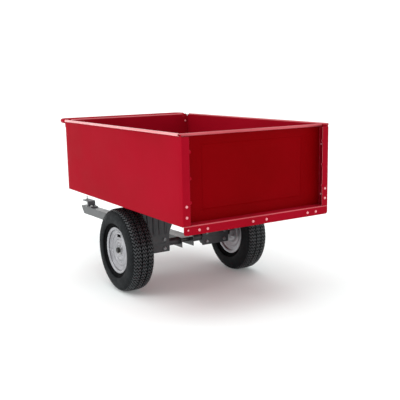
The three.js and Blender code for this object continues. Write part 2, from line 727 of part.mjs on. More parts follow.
function wheelRim() {
  const w = WHEEL_Y;
  const barrel = [
    [w + 48, RIM_RADIUS], [w + 46, RIM_RADIUS], [w + 44, 101.8], [w + 24, 100],
    [w + 14, 90], [w - 14, 90], [w - 24, 100], [w - 44, 101.8],
    [w - 46, RIM_RADIUS], [w - 48, RIM_RADIUS],
  ];
  // One dish, from the barrel's inner wall in to the hub and back out to the flange.
  const dish = [
    [14, 87], [17, 76], [21, 62], [27.5, 49], [27, HUB_RADIUS + GAP],
    [30, HUB_RADIUS + GAP], [30.5, 50.5], [24, 64], [20.5, 76], [25, 95], [46.5, 98.8],
  ];
  const outerDisc = dish.map(([y, r]) => [w + y, r]);
  const innerDisc = dish.map(([y, r]) => [w - y, r]).reverse();
  const body = turned([...barrel, ...innerDisc, ...outerDisc], 36);
  const slot = new THREE.Shape();
  slot.absarc(-11, 0, 8, Math.PI / 2, Math.PI * 1.5);
  slot.absarc(11, 0, 8, -Math.PI / 2, Math.PI / 2);
  const cutter = prism(slot, 'y', w + 10, w + 40);
  const geometry = geometryOf(cutter).translate(AXLE.x, 0, AXLE.z + VALVE_RADIUS);
  return cut(body, solid(geometry));
}

const HUB_IN = 274;
const HUB_OUT = 358;

function wheelHub() {
  return turned([
    [HUB_IN, AXLE_RADIUS + GAP], [HUB_IN, HUB_RADIUS], [HUB_OUT, HUB_RADIUS], [HUB_OUT, 21.3],
    [HUB_OUT - 12, 21.3], [HUB_OUT - 12, AXLE_RADIUS + GAP],
  ]);
}

function wheelBearing() {
  return turned([
    [HUB_OUT - 11.7, AXLE_RADIUS + GAP], [HUB_OUT - 11.7, 20.8], [HUB_OUT - 1, 20.8],
    [HUB_OUT - 2, 16.5], [HUB_OUT, AXLE_RADIUS + GAP],
  ]);
}

function valveStem() {
  const z = AXLE.z + VALVE_RADIUS;
  const rubber = bar('y', 4.2, [AXLE.x, z], WHEEL_Y + 12, WHEEL_Y + 34);
  const cap = bar('y', 3.4, [AXLE.x, z], WHEEL_Y + 33, WHEEL_Y + 42);
  return union(rubber, cap);
}

addPair('tyre', tyre(), TYRE_RUBBER);
addPair('wheel_rim', wheelRim(), RIM_PAINT);
addPair('wheel_hub', wheelHub(), RIM_PAINT);
addPair('wheel_bearing', wheelBearing(), STEEL);
addPair('valve_stem', valveStem(), SOFT_RUBBER);

// ---------------------------------------------------------------- bed latch

const PIVOT = { x: 628, z: 408 };
const LATCH_OPEN = 42;           // degrees between hooked and open; drawn open

function latchBracket() {
  const base = box([568, 646], [-20, 20], [BED_BOTTOM - 3.3, BED_BOTTOM - GAP]);
  const cheek = outline([
    [612, BED_BOTTOM - 1],
    [612, 396],
    [618, 390],
    [640, 390],
    [646, 396],
    [646, BED_BOTTOM - 1],
  ]);
  const cheeks = [[-10, -7], [7, 10]].map(([a, b]) => prism(cheek, 'y', a, b));
  return cut(union(base, ...cheeks), bar('y', 5.3, [PIVOT.x, PIVOT.z], -30, 30));
}

// Flat lever drawn hooked, with its pivot at the origin: a boss, a handle and a curved hook.
function latchLever() {
  const hook = new THREE.Shape();
  const from = -Math.PI * (72 / 180);
  const to = -Math.PI * (152 / 180);
  hook.absarc(0, 0, 60, from, to, true);
  hook.absarc(0, 0, 52, to, from, false);
  const arm = outline([[-4, 0], [8, -4], [19, -56], [4, -56]]);
  const handle = outline([[0, 9], [102, -28.5], [96, -45], [-2, -9]]);
  const blank = union(
    bar('y', 13, [0, 0], -3, 3, 16),
    prism(hook, 'y', -3, 3, 8),
    prism(arm, 'y', -3, 3),
    prism(handle, 'y', -3, 3),
  );
  const lever = cut(blank, bar('y', 5.3, [0, 0], -5, 5));
  return posed(lever);
}

// Turns a hooked latch piece to its open position and carries it to the pivot.
function posed(body) {
  const g = geometryOf(body).rotateY(-THREE.MathUtils.degToRad(LATCH_OPEN));
  return solid(g.translate(PIVOT.x, 0, PIVOT.z));
}

// Soft grip over the last part of the lever, drawn along X and turned to the lever's slant.
function latchGrip() {
  const slant = Math.atan2(-17.5, 47.6);
  const sleeve = prism(roundedBox(-11, 11, -14, 14, 9), 'x', 44, 124, 3);
  const slot = box([40, 107], [-3.3, 3.3], [-9.6, 9.6]);
  const g = geometryOf(cut(sleeve, slot)).rotateY(-slant);
  return posed(solid(g));
}

add('latch_bracket', latchBracket(), RED_PAINT);
add('latch_pivot_pin', bar('y', 5, [PIVOT.x, PIVOT.z], -15, 15), STEEL);
add('latch_lever', latchLever(), BLACK_PAINT);
add('latch_grip', latchGrip(), SOFT_RUBBER);

export default cart;
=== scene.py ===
"""Looks for the tow behind cart: procedural finishes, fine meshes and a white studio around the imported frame.

Metres, +X to the hitch, +Y to the cart's left, +Z up, and the ground is Z = 0.
"""

import json
import math

import bmesh
import bpy
from mathutils import Matrix, Vector, noise


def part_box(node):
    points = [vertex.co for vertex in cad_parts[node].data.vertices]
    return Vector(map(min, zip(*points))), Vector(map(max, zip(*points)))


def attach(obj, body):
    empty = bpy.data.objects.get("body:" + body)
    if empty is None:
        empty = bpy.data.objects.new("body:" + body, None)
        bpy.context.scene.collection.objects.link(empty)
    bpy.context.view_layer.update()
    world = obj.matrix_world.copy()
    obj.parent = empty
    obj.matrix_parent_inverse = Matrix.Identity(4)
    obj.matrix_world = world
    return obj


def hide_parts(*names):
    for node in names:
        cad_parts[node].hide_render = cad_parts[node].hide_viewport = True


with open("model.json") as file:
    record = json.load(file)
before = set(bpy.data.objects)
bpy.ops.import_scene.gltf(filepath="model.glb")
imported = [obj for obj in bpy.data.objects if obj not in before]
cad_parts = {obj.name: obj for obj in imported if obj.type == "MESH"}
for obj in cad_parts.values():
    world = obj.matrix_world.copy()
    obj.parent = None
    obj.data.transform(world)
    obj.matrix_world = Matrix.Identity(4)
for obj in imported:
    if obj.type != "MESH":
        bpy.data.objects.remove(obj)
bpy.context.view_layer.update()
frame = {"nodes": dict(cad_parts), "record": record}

# ---------------------------------------------------------------- places taken from the frame, in millimetres

MM = 0.001
SIDES = {"left": 1, "right": -1}
SHEET = 1.6
GAP = 0.3
ROLL = 6.0


def box(node):
    """Lowest and highest corner of a CAD node."""
    low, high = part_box(node)
    return low / MM, high / MM


def middle(node):
    low, high = box(node)
    return (low + high) / 2


AXLE = middle("axle_shaft")
PANEL_LOW, PANEL_HIGH = box("left_side_panel")
WALL_OUT = PANEL_HIGH.y + SHEET - 2 * ROLL
REAR = PANEL_LOW.x
FRONT = PANEL_HIGH.x
RIM_TOP = PANEL_HIGH.z
WALL_FOOT = PANEL_LOW.z
POST_TOP = RIM_TOP - 15
FLOOR_LOW, FLOOR_HIGH = box("bed_floor")
FLOOR_TOP = WALL_FOOT + 2 * SHEET + GAP

# ---------------------------------------------------------------- node materials


class Finish:
    """A material under construction: short calls that add and join shader nodes."""

    def __init__(self, name):
        self.material = bpy.data.materials.new(name)
        self.material.use_nodes = True
        self.tree = self.material.node_tree
        self.shader = self.tree.nodes["Principled BSDF"]
        self.place = self.node("ShaderNodeTexCoord").outputs["Object"]

    def node(self, kind, **settings):
        made = self.tree.nodes.new(kind)
        for key, value in settings.items():
            setattr(made, key, value)
        return made

    def feed(self, socket, value):
        if isinstance(value, bpy.types.NodeSocket):
            self.tree.links.new(value, socket)
        else:
            socket.default_value = value

    def noise(self, scale, detail=3.0, rough=0.55, stretch=(1, 1, 1)):
        stretched = self.node("ShaderNodeMapping")
        stretched.inputs["Scale"].default_value = stretch
        self.feed(stretched.inputs["Vector"], self.place)
        made = self.node("ShaderNodeTexNoise")
        self.feed(made.inputs["Vector"], stretched.outputs[0])
        made.inputs["Scale"].default_value = scale
        made.inputs["Detail"].default_value = detail
        made.inputs["Roughness"].default_value = rough
        return made.outputs["Fac"]

    def span(self, value, low, high, to_low=0.0, to_high=1.0):
        made = self.node("ShaderNodeMapRange", interpolation_type="SMOOTHSTEP")
        for name, given in (("Value", value), ("From Min", low), ("From Max", high)):
            self.feed(made.inputs[name], given)
        made.inputs["To Min"].default_value = to_low
        made.inputs["To Max"].default_value = to_high
        return made.outputs["Result"]

    def math(self, operation, a, b):
        made = self.node("ShaderNodeMath", operation=operation)
        self.feed(made.inputs[0], a)
        self.feed(made.inputs[1], b)
        return made.outputs[0]

    def mix(self, amount, a, b):
        made = self.node("ShaderNodeMix", data_type="RGBA")
        self.feed(made.inputs["Factor"], amount)
        self.feed(made.inputs[6], a if isinstance(a, bpy.types.NodeSocket) else (*a, 1))
        self.feed(made.inputs[7], b if isinstance(b, bpy.types.NodeSocket) else (*b, 1))
        return made.outputs[2]

    def edges(self, radius, low=0.02, high=0.25):
        """1 on corners and folds tighter than the radius, 0 on open faces."""
        rounded = self.node("ShaderNodeBevel", samples=4)
        rounded.inputs["Radius"].default_value = radius
        flat = self.node("ShaderNodeNewGeometry").outputs["Normal"]
        dot = self.node("ShaderNodeVectorMath", operation="DOT_PRODUCT")
        self.feed(dot.inputs[0], rounded.outputs[0])
        self.feed(dot.inputs[1], flat)
        return self.span(self.math("SUBTRACT", 1.0, dot.outputs["Value"]), low, high)

    def facing_up(self):
        """0 on upright and downward faces, rising to 1 on level ones."""
        split = self.node("ShaderNodeSeparateXYZ")
        self.feed(split.inputs[0], self.node("ShaderNodeNewGeometry").outputs["Normal"])
        return self.span(split.outputs["Z"], 0.3, 0.9)

    def height(self, low, high):
        """0 at height low and 1 at height high."""
        split = self.node("ShaderNodeSeparateXYZ")
        self.feed(split.inputs[0], self.place)
        return self.span(split.outputs["Z"], low, high)

    def bump(self, height, depth, below=None):
        made = self.node("ShaderNodeBump")
        made.inputs["Strength"].default_value = 1.0
        made.inputs["Distance"].default_value = depth
        self.feed(made.inputs["Height"], height)
        if below is not None:
            self.feed(made.inputs["Normal"], below)
        return made.outputs[0]

    def done(self, colour, roughness, normal, **constants):
        self.feed(self.shader.inputs["Base Color"], colour)
        self.feed(self.shader.inputs["Roughness"], roughness)
        self.feed(self.shader.inputs["Normal"], normal)
        for name, value in constants.items():
            self.shader.inputs[name.replace("_", " ")].default_value = value
        return self.material


ORANGE_PEEL = 0.000012
DUST = (0.45, 0.42, 0.38)


def powder_coat(name, deep, main, wear_and_sheen, rough, specular, dust=0.05, coat=0.0):
    """Powder coat: mottled tone, orange peel, edges lightened as rubbed wear and as a painted highlight, and
    dust low down and on ledges.
    """
    f = Finish(name)
    tone = f.span(f.noise(2.3, 4), 0.3, 0.7)
    colour = f.mix(tone, deep, main)
    fleck = f.span(f.noise(1400, 1), 0.6, 0.75, 0.0, 0.25)
    colour = f.mix(fleck, colour, tuple(min(1.0, c * 1.25 + 0.004) for c in main))
    # Tight edges are lightened in patches: partly rubbed paint, partly a painted highlight along the edges.
    rub_and_sheen = f.math("MULTIPLY", f.edges(0.0016), f.span(f.noise(55, 5, 0.7), 0.42, 0.62))
    colour = f.mix(f.math("MULTIPLY", rub_and_sheen, 0.55), colour, wear_and_sheen)
    scratch = f.span(f.noise(34, 3, 0.6, (1, 1, 22)), 0.73, 0.78, 0.0, 0.18)
    colour = f.mix(scratch, colour, wear_and_sheen)
    low = f.math("SUBTRACT", 1.0, f.height(0.1, 0.55))
    settle = f.math("MAXIMUM", low, f.facing_up())
    film = f.math("MULTIPLY", settle, f.span(f.noise(16, 6, 0.65), 0.35, 0.75, 0.0, dust))
    colour = f.mix(film, colour, DUST)
    gloss = f.span(f.noise(9, 4), 0.25, 0.75, rough - 0.05, rough + 0.06)
    gloss = f.math("ADD", gloss, f.math("MULTIPLY", film, 0.8))
    wave = f.bump(f.noise(2.6, 1), 0.0012)
    skin = f.bump(f.noise(620, 2), ORANGE_PEEL, wave)
    return f.done(colour, gloss, skin, Specular_IOR_Level=specular, Coat_Weight=coat, Coat_Roughness=0.12)


def bright_metal(name, main, dark, rough, tint=None):
    """Zinc plate or bare steel: fine brushing and a cloudy tone."""
    f = Finish(name)
    cloud = f.span(f.noise(60, 5, 0.6), 0.3, 0.7)
    colour = f.mix(cloud, dark, main)
    if tint is not None:
        colour = f.mix(f.span(f.noise(23, 4), 0.45, 0.7, 0.0, 0.6), colour, tint)
    brushed = f.noise(420, 2, 0.5, (1, 1, 12))
    gloss = f.span(f.noise(130, 4), 0.3, 0.7, rough - 0.07, rough + 0.1)
    return f.done(colour, gloss, f.bump(brushed, 0.00001), Metallic=1.0)


def rubber(name, deep, main, dusty, rough, grit=0.00006, specular=0.25):
    """Rubber: sooty black with grey dust on the wear faces and a fine moulded grain."""
    f = Finish(name)
    colour = f.mix(f.span(f.noise(12, 5), 0.3, 0.7), deep, main)
    dust = f.span(f.noise(95, 6, 0.7), 0.42, 0.72, 0.0, 0.5)
    edge = f.math("MULTIPLY", f.edges(0.0015, 0.01, 0.2), 0.35)
    colour = f.mix(f.math("MAXIMUM", dust, edge), colour, dusty)
    gloss = f.span(f.noise(40, 4), 0.3, 0.7, rough - 0.08, rough + 0.08)
    return f.done(colour, gloss, f.bump(f.noise(900, 3), grit), Specular_IOR_Level=specular)


def silver_paint(name):
    """Silver wheel enamel: metal flake, patches of brake-dust grey, chips on the edges."""
    f = Finish(name)
    colour = f.mix(f.span(f.noise(11, 4), 0.3, 0.7), (0.27, 0.268, 0.285), (0.36, 0.357, 0.378))
    flake = f.span(f.noise(2600, 1), 0.55, 0.75, 0.0, 0.5)
    colour = f.mix(flake, colour, (0.6, 0.6, 0.63))
    film = f.span(f.noise(28, 6, 0.7), 0.45, 0.8, 0.0, 0.35)
    colour = f.mix(film, colour, (0.2, 0.19, 0.185))
    chip = f.math("MULTIPLY", f.edges(0.0012), f.span(f.noise(120, 4), 0.52, 0.6))
    colour = f.mix(f.math("MULTIPLY", chip, 0.5), colour, (0.1, 0.09, 0.085))
    gloss = f.span(f.noise(15, 4), 0.3, 0.7, 0.24, 0.36)
    return f.done(colour, gloss, f.bump(f.noise(700, 2), 0.00001), Metallic=0.6, Coat_Weight=0.4)


RED = powder_coat(
    "red_powder_coat", (0.295, 0.003, 0.011), (0.345, 0.004, 0.016), (0.75, 0.2, 0.19),
    rough=0.45, specular=0.01, dust=0.01,
)
# A darker copy of the red paint for the tailgate: painted shade, the same coat seen less lit.
RED_GATE_SHADE = powder_coat(
    "red_tailgate_painted_shade", (0.19, 0.0, 0.001), (0.22, 0.0, 0.002), (0.5, 0.08, 0.08),
    rough=0.45, specular=0.015, dust=0.01,
)
# A much lighter, glossier red for the near rolled rim, bright sheet edges and bolt heads: a painted highlight.
RED_RIM_HIGHLIGHT = powder_coat(
    "red_rolled_rim_painted_highlight", (0.7, 0.16, 0.17), (0.85, 0.27, 0.28), (0.95, 0.7, 0.66),
    rough=0.24, specular=0.5, coat=1.0,
)
# A red lighter than the body paint but dimmer than the near rim, for the other rolled rims and the floor's
# bend: a softer painted highlight.
RED_SOFT_HIGHLIGHT = powder_coat(
    "red_soft_painted_highlight", (0.46, 0.05, 0.065), (0.58, 0.09, 0.11), (0.9, 0.5, 0.48),
    rough=0.3, specular=0.25, coat=0.35,
)
# A pinkish red, lighter than the body paint, for the round bolt heads: a painted highlight.
RED_BOLT_HIGHLIGHT = powder_coat(
    "red_bolt_heads_painted_highlight", (0.7, 0.19, 0.22), (0.86, 0.32, 0.35), (0.95, 0.62, 0.62),
    rough=0.25, specular=0.5, coat=0.6,
)
BLACK = powder_coat(
    "black_powder_coat", (0.028, 0.0295, 0.034), (0.046, 0.048, 0.054), (0.16, 0.16, 0.165),
    rough=0.42, specular=0.45,
)
GREY = powder_coat(
    "grey_powder_coat", (0.024, 0.0255, 0.028), (0.037, 0.0385, 0.0415), (0.2, 0.2, 0.21),
    rough=0.3, specular=0.6,
)
TYRE = rubber(
    "tyre_sidewall", (0.008, 0.009, 0.01), (0.013, 0.0145, 0.016), (0.027, 0.0295, 0.032),
    rough=0.6, specular=0.08,
)
# Lighter, glossier rubber on the tread blocks: partly scuffed wear, partly a painted highlight on the block
# tops.
TREAD_WEAR_AND_HIGHLIGHT = rubber(
    "tyre_tread_blocks_wear_and_highlight", (0.016, 0.018, 0.02), (0.03, 0.033, 0.036), (0.08, 0.086, 0.092),
    rough=0.4, specular=0.35,
)
# Near-black rubber for the grooves and the bead's recess: painted shade.
GROOVE_SHADE_RUBBER = rubber(
    "tyre_grooves_painted_shade", (0.002, 0.002, 0.002), (0.004, 0.004, 0.005), (0.01, 0.011, 0.012),
    rough=0.8, specular=0.05,
)
SOFT = rubber(
    "moulded_rubber", (0.012, 0.012, 0.013), (0.022, 0.022, 0.024), (0.07, 0.07, 0.07),
    rough=0.7, grit=0.00003,
)
SILVER = silver_paint("silver_wheel_paint")
ZINC = bright_metal("zinc_plate", (0.6, 0.6, 0.61), (0.36, 0.36, 0.37), 0.34, (0.5, 0.49, 0.42))
DULL_ZINC = bright_metal("weathered_zinc", (0.3, 0.3, 0.31), (0.16, 0.16, 0.165), 0.42)
STEEL = bright_metal("oiled_steel", (0.42, 0.42, 0.43), (0.24, 0.235, 0.23), 0.32)
DARK_STEEL = bright_metal("greased_steel", (0.09, 0.088, 0.085), (0.035, 0.034, 0.033), 0.4)

SLOT_FINISH = {
    "red_paint": RED,
    # CAD nodes in the bolt slot take the lightest red: a painted highlight.
    "red_bolt_paint": RED_RIM_HIGHLIGHT,
    "black_paint": BLACK,
    "grey_paint": GREY,
    "tyre_rubber": TYRE,
    "rim_paint": SILVER,
    "zinc_hardware": ZINC,
    "bare_steel": STEEL,
    "soft_rubber": SOFT,
}

# ---------------------------------------------------------------- mesh building, in millimetres


def arc(centre, radius, first, last, steps):
    """Points on a circle between two angles in degrees."""
    turns = [math.radians(first + (last - first) * i / steps) for i in range(steps + 1)]
    return [(centre[0] + radius * math.cos(a), centre[1] + radius * math.sin(a)) for a in turns]


def smooth(points, steps):
    """A curve that passes through every point."""
    curve = []
    for i in range(len(points) - 1):
        around = points[max(i - 1, 0)], points[i], points[i + 1], points[min(i + 2, len(points) - 1)]
        for k in range(steps):
            t = k / steps
            curve.append(tuple(
                b + 0.5 * t * (c - a + t * (2 * a - 5 * b + 4 * c - d + t * (3 * b - a - 3 * c + d)))
                for a, b, c, d in zip(*around)
            ))
    curve.append(tuple(points[-1]))
    return curve


def spread(first, last, count):
    """Evenly spaced values, both ends included."""
    return [first + (last - first) * i / count for i in range(count + 1)]


class Shape:
    """Collects grids, turned bodies and tubes, and turns them into one object."""

    def __init__(self):
        self.points = []
        self.faces = []
        self.finishes = []

    def grid(self, rows, flip=False, finish=0, closed_rows=False, closed_columns=False):
        base = len(self.points)
        wide = len(rows[0])
        for row in rows:
            self.points.extend(row)
        for i in range(len(rows) - (0 if closed_rows else 1)):
            for j in range(wide - (0 if closed_columns else 1)):
                k = (i + 1) % len(rows)
                m = (j + 1) % wide
                face = [base + i * wide + j, base + i * wide + m, base + k * wide + m, base + k * wide + j]
                self.faces.append(face[::-1] if flip else face)
                self.finishes.append(finish)

    def turn(self, profile, centre, axis, steps, phase=0.0, closed=False):
        """A body turned about an axis from (along, radius) points."""
        rows = []
        for along, radius in profile:
            row = []
            for i in range(steps):
                a = phase + 2 * math.pi * i / steps
                p, q = radius * math.cos(a), radius * math.sin(a)
                offset = {"x": (along, p, q), "y": (q, along, p), "z": (p, q, along)}[axis]
                row.append(tuple(c + o for c, o in zip(centre, offset)))
            rows.append(row)
        self.grid(rows, closed_rows=closed, closed_columns=True)

    def tube(self, path, radius, sides):
        """A round bar along a path. The radius may be a list with one value for each point."""
        path = [Vector(p) for p in path]
        rows = []
        side = None
        for i, point in enumerate(path):
            before = path[max(i - 1, 0)]
            after = path[min(i + 1, len(path) - 1)]
            along = (after - before).normalized()
            if side is None:
                side = along.orthogonal().normalized()
            side = (side - along * side.dot(along)).normalized()
            up = along.cross(side)
            r = radius[i] if isinstance(radius, list) else radius
            turns = [2 * math.pi * k / sides for k in range(sides)]
            rows.append([tuple(point + side * r * math.cos(a) + up * r * math.sin(a)) for a in turns])
        rows.insert(0, [tuple(path[0])] * sides)
        rows.append([tuple(path[-1])] * sides)
        self.grid(rows, closed_columns=True)

    def dome_bolt(self, centre, radius, rise=3.6, out=-1):
        """A round head on a face square to x, standing out along x."""
        turns = [math.radians(a) for a in range(0, 91, 15)]
        profile = [(-0.5, 0), (-0.5, radius)]
        profile += [(rise * math.sin(a), radius * math.cos(a)) for a in turns]
        self.turn([(out * along, r) for along, r in profile], centre, "x", 20)

    def object(self, name, finishes, mirror=False, solid=True):
        """The finished object; a sheet still to be thickened isn't solid and keeps its drawn side."""
        mesh = bpy.data.meshes.new(name)
        points = [(x * MM, (-y if mirror else y) * MM, z * MM) for x, y, z in self.points]
        mesh.from_pydata(points, [], [f[::-1] if mirror else f for f in self.faces])
        mesh.polygons.foreach_set("material_index", self.finishes)
        for finish in finishes:
            mesh.materials.append(finish)
        work = bmesh.new()
        work.from_mesh(mesh)
        bmesh.ops.remove_doubles(work, verts=work.verts, dist=1e-6)
        bmesh.ops.dissolve_degenerate(work, edges=work.edges, dist=1e-6)
        if solid:
            bmesh.ops.recalc_face_normals(work, faces=work.faces)
        for face in work.faces:
            face.smooth = True
        work.to_mesh(mesh)
        work.free()
        mesh.set_sharp_from_angle(angle=math.radians(35))
        made = bpy.data.objects.new(name, mesh)
        bpy.context.scene.collection.objects.link(made)
        return made


def round_edges(piece, width, angle=32):
    rounding = piece.modifiers.new("round_edges", "BEVEL")
    rounding.width = width
    rounding.segments = 2
    rounding.limit_method = "ANGLE"
    rounding.angle_limit = math.radians(angle)
    rounding.harden_normals = True


def thicken(piece, thickness=SHEET * MM, edge=0.5 * MM, edge_finish=0):
    """Gives a surface its sheet thickness, behind the drawn face."""
    shell = piece.modifiers.new("sheet_thickness", "SOLIDIFY")
    shell.thickness = thickness
    shell.offset = -1.0
    shell.use_even_offset = True
    shell.material_offset_rim = edge_finish
    round_edges(piece, edge)


def fit(piece, body, slot, *nodes):
    """Gives a piece its body, and hides the CAD nodes that it replaces; the slot is not used."""
    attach(piece, body)
    if nodes:
        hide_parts(*nodes)
    return piece


# ---------------------------------------------------------------- the bed's sheet metal


DENT_DEPTH = 0.45
DENT_LENGTH = 210


def dent(x, y, z):
    """Slow unevenness of a pressed sheet."""
    return DENT_DEPTH * noise.noise(Vector((x, y, z)) / DENT_LENGTH)


def rim_curl():
    """(outward, below the rim's top) along the inside of the rolled rim, from the wall over the top."""
    return [(p, q - ROLL) for p, q in arc((ROLL - SHEET, 0), ROLL - SHEET, 180, -112, 14)]


POST_WIDTH = 35
EAR_PLACES = [0.2, 0.48, 0.74]
EAR_RADIUS = 7
FLANGE_WIDTH = 30
BEND = 4
HEM_WIDTH = 24
HEM_START = REAR + 40
ROLL_START = REAR + 12
ROLL_END = FRONT - 18


def side_panel(side):
    """One sheet: rear post with ears, wall, front flange, rolled rim, and a hem under the floor."""
    wall = Shape()
    corner = arc((REAR + BEND, WALL_OUT - BEND), BEND, 180, 90, 5)
    far_corner = arc((FRONT - BEND, WALL_OUT - BEND), BEND, 90, 0, 5)
    along = spread(REAR + BEND, FRONT - BEND, 36)
    post = [(REAR, y) for y in spread(WALL_OUT - POST_WIDTH, WALL_OUT - BEND, 3)]
    flange = [(FRONT, y) for y in spread(WALL_OUT - BEND, WALL_OUT - FLANGE_WIDTH, 3)]
    plan = post + corner[1:-1] + [(x, WALL_OUT) for x in along] + far_corner[1:-1] + flange
    heights = spread(WALL_FOOT, POST_TOP, 12)

    def skin(x, y, z):
        # The post stands on the floor's rear flange, so its foot is above the floor.
        if x < REAR + BEND - 0.01:
            return (x, y, max(z, FLOOR_TOP + GAP))
        if y < WALL_OUT - 0.01:
            return (x, y, z)
        # The unevenness dies away toward the sheet's edges.
        fade = min(1, (POST_TOP - z) / 60, (z - WALL_FOOT) / 40, (x - REAR) / 40, (FRONT - x) / 40)
        return (x, y + dent(x, 900, z) * max(0, fade), z)

    wall.grid([[skin(x, y, z) for x, y in plan] for z in heights], flip=True)
    neck = [[(x, WALL_OUT, z) for x in along] for z in (POST_TOP, RIM_TOP - ROLL)]
    rolled = [ROLL_START] + [x for x in along if ROLL_START < x < ROLL_END] + [ROLL_END]
    curl = [[(x, WALL_OUT + a, RIM_TOP + b) for x in rolled] for a, b in rim_curl()]
    wall.grid(neck, flip=True)
    wall.grid(curl, flip=True, finish=1)
    hem = [x for x in along if x > HEM_START]
    wall.grid([[(x, y, WALL_FOOT) for x in hem] for y in (WALL_OUT - HEM_WIDTH, WALL_OUT)], flip=True)
    inner_edge = WALL_OUT - POST_WIDTH
    for part in EAR_PLACES:
        centre = RIM_TOP - (RIM_TOP - WALL_FOOT) * part
        turns = spread(-1.57, 1.57, 10)
        rings = [[(r * math.cos(a), r * math.sin(a)) for a in turns] for r in (0, EAR_RADIUS / 2, EAR_RADIUS)]
        wall.grid([[(REAR, inner_edge - p, centre + q) for p, q in ring] for ring in rings])
    # The near side's rolled rim takes the lightest red and the far side's the softer one, both painted
    # highlights; the far side's sheet edges take the lightest red, a painted highlight along them.
    rim = RED_RIM_HIGHLIGHT if side == "left" else RED_SOFT_HIGHLIGHT
    piece = wall.object(side + "_side_sheet", [RED, rim, RED_RIM_HIGHLIGHT], mirror=side == "right", solid=False)
    thicken(piece, edge_finish=2 if side == "right" else 0)
    fit(piece, "bed", "red_paint", side + "_side_panel")


def front_panel():
    """The front wall, with a rolled rim between the side panels' flanges."""
    low, high = box("front_panel")
    face = high.x + SHEET - 2 * ROLL
    wall = Shape()
    half = high.y
    neck_foot = RIM_TOP - 16
    across = spread(-half, half, 24)
    inner = [y for y in across if abs(y) < WALL_OUT - FLANGE_WIDTH - 2]
    levels = spread(low.z, neck_foot, 10)

    def skin(y, z):
        fade = min(1, (neck_foot - z) / 60, (z - low.z) / 40, (half - abs(y)) / 60)
        return (face + dent(2000, y, z) * max(0, fade) * 0.8, y, z)

    wall.grid([[skin(y, z) for y in across] for z in levels])
    wall.grid([[(face, y, z) for y in inner] for z in (neck_foot, RIM_TOP - ROLL)])
    # The rolled rim takes the lighter red: a painted highlight.
    wall.grid([[(face + a, y, RIM_TOP + b) for y in inner] for a, b in rim_curl()], finish=1)
    # A lip turned in over the floor.
    back = face - SHEET
    lip = spread(-half + 30, half - 30, 12)
    wall.grid([[(x, y, FLOOR_TOP + GAP) for y in lip] for x in (low.x, low.x + 8, back - 6, back)])
    piece = wall.object("front_sheet", [RED, RED_SOFT_HIGHLIGHT], solid=False)
    thicken(piece)
    fit(piece, "bed", "red_paint", "front_panel")


RIB_HALF = 16
RIB_RISE = 4
RIB_Y = [-280, -140, 0, 140, 280]
RIB_END = 500
CORNER = 12


def bed_floor():
    """A ribbed floor, bent down at the rear into a flange with rounded corners."""
    half = FLOOR_HIGH.y
    centre = (REAR + FRONT) / 2
    sheet = Shape()
    stations = {s * (half - d) for s in (-1, 1) for d in (0, 1, 2.5, 5, 8, 12)}
    for y in RIB_Y:
        stations.update(y + s * d for s in (-1, 1) for d in (0, 5, 9, 12, 14.5, RIB_HALF))
    across = sorted(stations)
    ends = [RIB_END - d for d in (0, 3, 6, 10, 16)]
    quarters = [centre - 250, centre + 250]
    along = sorted([centre + s * e for s in (-1, 1) for e in ends] + [FLOOR_HIGH.x] + quarters)

    def rib(x, y):
        """Height of the ribs above the flat of the floor."""
        off = min(abs(y - r) for r in RIB_Y)
        side = min(1, max(0, (RIB_HALF - off) / 7))
        end = min(1, max(0, (RIB_END - abs(x - centre)) / 14))
        ease = [t * t * (3 - 2 * t) for t in (side, end)]
        return RIB_RISE * ease[0] * ease[1]

    foot = FLOOR_LOW.z
    flange = [(REAR, foot + d) for d in (0, 0.6, 1.6, 3.2, 5.6, 9, 12, 20)] + [(REAR, FLOOR_TOP - BEND)]
    bend = arc((REAR + BEND, FLOOR_TOP - BEND), BEND, 180, 90, 5)

    def corner(y, z):
        """Pulls the ends of the flange in round its two lower corners."""
        up = min(CORNER, z - foot)
        reach = half - CORNER + math.sqrt(CORNER ** 2 - (CORNER - up) ** 2)
        return max(-reach, min(reach, y))

    rows = [[(x, corner(y, z), z) for y in across] for x, z in flange + bend[1:]]
    rows += [[(x, y, FLOOR_TOP + rib(x, y)) for y in across] for x in along]
    sheet.grid(rows, flip=True)
    # The rows round the flange's top bend take the lighter red: a painted highlight along the bend.
    bent = range(len(flange) - 1, len(flange) + 4)
    sheet.finishes = [int(i // (len(across) - 1) in bent) for i in range(len(sheet.faces))]
    piece = sheet.object("floor_sheet", [RED, RED_SOFT_HIGHLIGHT], solid=False)
    thicken(piece)
    fit(piece, "bed", "red_paint", "bed_floor")


FIELD_HALF = 264
FIELD_MARGIN = 46
FIELD_RAMP = 8
FIELD_DEPTH = 3
RIVET_HEIGHTS = [737, 645, 588, 549, 463]


